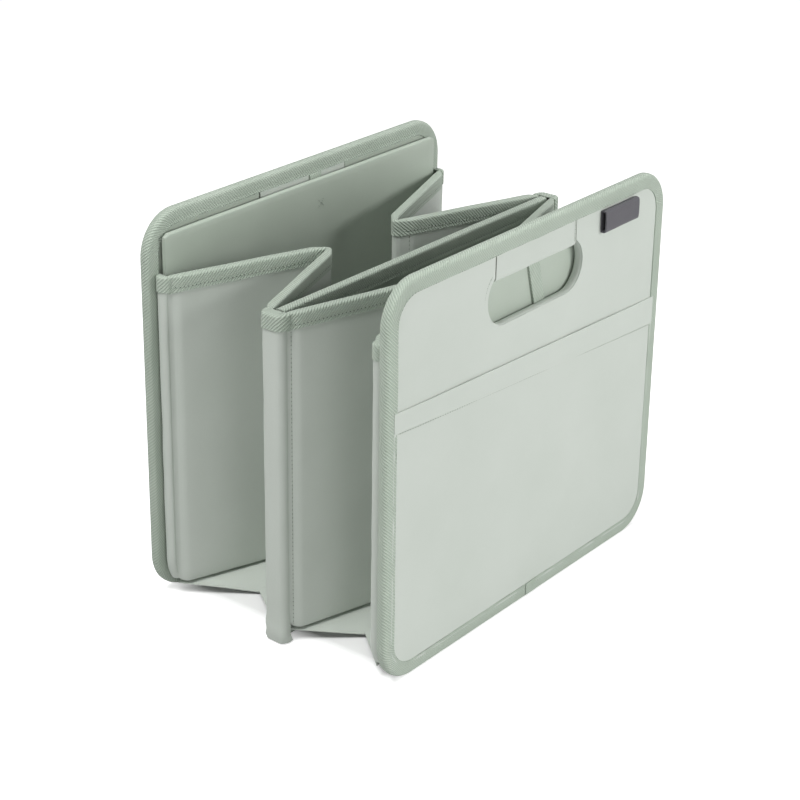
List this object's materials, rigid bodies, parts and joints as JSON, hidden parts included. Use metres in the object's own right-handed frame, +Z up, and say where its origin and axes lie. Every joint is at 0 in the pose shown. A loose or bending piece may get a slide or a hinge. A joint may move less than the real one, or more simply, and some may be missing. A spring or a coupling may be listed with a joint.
{
  "type": "folding storage box",
  "caption": "Cloth-covered folding storage box with stiff ends, a divider and pleated side walls, shown half folded.",
  "frame": {"origin": "centre of the bounding box at the level the box stands on", "axes": "+X across the end panels, +Y from the front end (the one with the pocket) to the rear end, +Z up"},
  "size_m": [0.32, 0.2122, 0.28],
  "materials": {
    "woven_cloth": "fine plain-weave coated polyester, pale sage green",
    "lining_cloth": "smooth coated lining, slightly shinier and darker",
    "binding_tape": "twill-woven binding tape with diagonal ribs",
    "grey_board": "plain stiffening board, hidden in the cloth",
    "tag_ribbon": "dark grey ribbon, blank"
  },
  "bodies": {
    "rear_end": {"rear_outer_cloth": "woven_cloth", "rear_board": "grey_board", "rear_inner_cloth": "lining_cloth", "rear_edge_binding": "binding_tape", "rear_grip_wrap": "woven_cloth", "rear_plate_cover": "lining_cloth", "rear_plate_board": "grey_board", "rear_plate_hinge": "lining_cloth", "rear_pull_loop": "binding_tape", "rear_seam_left": "lining_cloth", "rear_seam_right": "lining_cloth", "rear_floor_cloth": "lining_cloth"},
    "left_1": {"wall_left_1_cover": "woven_cloth", "wall_left_1_board": "grey_board", "wall_left_1_binding": "binding_tape"},
    "left_2": {"wall_left_2_cover": "woven_cloth", "wall_left_2_board": "grey_board", "wall_left_2_binding": "binding_tape"},
    "right_1": {"wall_right_1_cover": "woven_cloth", "wall_right_1_board": "grey_board", "wall_right_1_binding": "binding_tape"},
    "right_2": {"wall_right_2_cover": "woven_cloth", "wall_right_2_board": "grey_board", "wall_right_2_binding": "binding_tape"},
    "divider": {"divider_cover": "lining_cloth", "divider_board": "grey_board", "divider_binding": "binding_tape", "divider_edge_left": "woven_cloth", "divider_edge_right": "woven_cloth"},
    "left_3": {"wall_left_3_cover": "woven_cloth", "wall_left_3_board": "grey_board", "wall_left_3_binding": "binding_tape"},
    "left_4": {"wall_left_4_cover": "woven_cloth", "wall_left_4_board": "grey_board", "wall_left_4_binding": "binding_tape"},
    "right_3": {"wall_right_3_cover": "woven_cloth", "wall_right_3_board": "grey_board", "wall_right_3_binding": "binding_tape"},
    "right_4": {"wall_right_4_cover": "woven_cloth", "wall_right_4_board": "grey_board", "wall_right_4_binding": "binding_tape"},
    "front_end": {"front_outer_cloth": "woven_cloth", "front_board": "grey_board", "front_inner_cloth": "lining_cloth", "front_edge_binding": "binding_tape", "front_grip_wrap": "woven_cloth", "front_plate_cover": "lining_cloth", "front_plate_board": "grey_board", "front_plate_hinge": "lining_cloth", "front_pull_loop": "binding_tape", "front_seam_left": "lining_cloth", "front_seam_right": "lining_cloth", "front_floor_cloth": "lining_cloth", "front_pocket": "woven_cloth", "front_tag": "tag_ribbon"}
  },
  "joints": [
    {"name": "rear_fold", "type": "hinge", "parent": "rear_end", "child": "left_1", "pos_m": [-0.15, 0.09315, 0.12], "axis": [0, 0, 1], "range_deg": [-70.5, 17.5], "deforming": ["rear_floor_cloth"]},
    {"name": "left_fold_12", "type": "hinge", "parent": "left_1", "child": "left_2", "pos_m": [-0.03945, 0.04584, 0.12], "axis": [0, 0, 1], "range_deg": [-35.5, 141.5]},
    {"name": "divider_left_rear", "type": "hinge", "parent": "left_2", "child": "divider", "pos_m": [-0.15, -0.00148, 0.12], "axis": [0, 0, 1], "range_deg": [-71, 18]},
    {"name": "rear_right_hinge", "type": "hinge", "parent": "rear_end", "child": "right_1", "pos_m": [0.15, 0.09315, 0.12], "axis": [0, 0, 1], "range_deg": [-18, 71]},
    {"name": "right_fold_12", "type": "hinge", "parent": "right_1", "child": "right_2", "pos_m": [0.03945, 0.04584, 0.12], "axis": [0, 0, 1], "range_deg": [-141.5, 35.5]},
    {"name": "front_fold", "type": "hinge", "parent": "divider", "child": "left_3", "pos_m": [-0.15, -0.01008, 0.12], "axis": [0, 0, 1], "range_deg": [-74.5, 13.5], "deforming": ["front_floor_cloth"]},
    {"name": "left_fold_34", "type": "hinge", "parent": "left_3", "child": "left_4", "pos_m": [-0.03642, -0.04956, 0.12], "axis": [0, 0, 1], "range_deg": [-27.5, 149.5]},
    {"name": "front_left_hinge", "type": "hinge", "parent": "left_4", "child": "front_end", "pos_m": [-0.15, -0.08905, 0.12], "axis": [0, 0, 1], "range_deg": [-75, 14]},
    {"name": "divider_right_front", "type": "hinge", "parent": "divider", "child": "right_3", "pos_m": [0.15, -0.01008, 0.12], "axis": [0, 0, 1], "range_deg": [-14, 75]},
    {"name": "right_fold_34", "type": "hinge", "parent": "right_3", "child": "right_4", "pos_m": [0.03642, -0.04956, 0.12], "axis": [0, 0, 1], "range_deg": [-149.5, 27.5]}
  ],
  "couplings": [
    {"joint": "left_fold_12", "follows": "rear_fold", "ratio": -2},
    {"joint": "divider_left_rear", "follows": "rear_fold", "ratio": 1},
    {"joint": "rear_right_hinge", "follows": "rear_fold", "ratio": -1},
    {"joint": "right_fold_12", "follows": "rear_fold", "ratio": 2},
    {"joint": "left_fold_34", "follows": "front_fold", "ratio": -2},
    {"joint": "front_left_hinge", "follows": "front_fold", "ratio": 1},
    {"joint": "divider_right_front", "follows": "front_fold", "ratio": -1},
    {"joint": "right_fold_34", "follows": "front_fold", "ratio": 2}
  ]
}
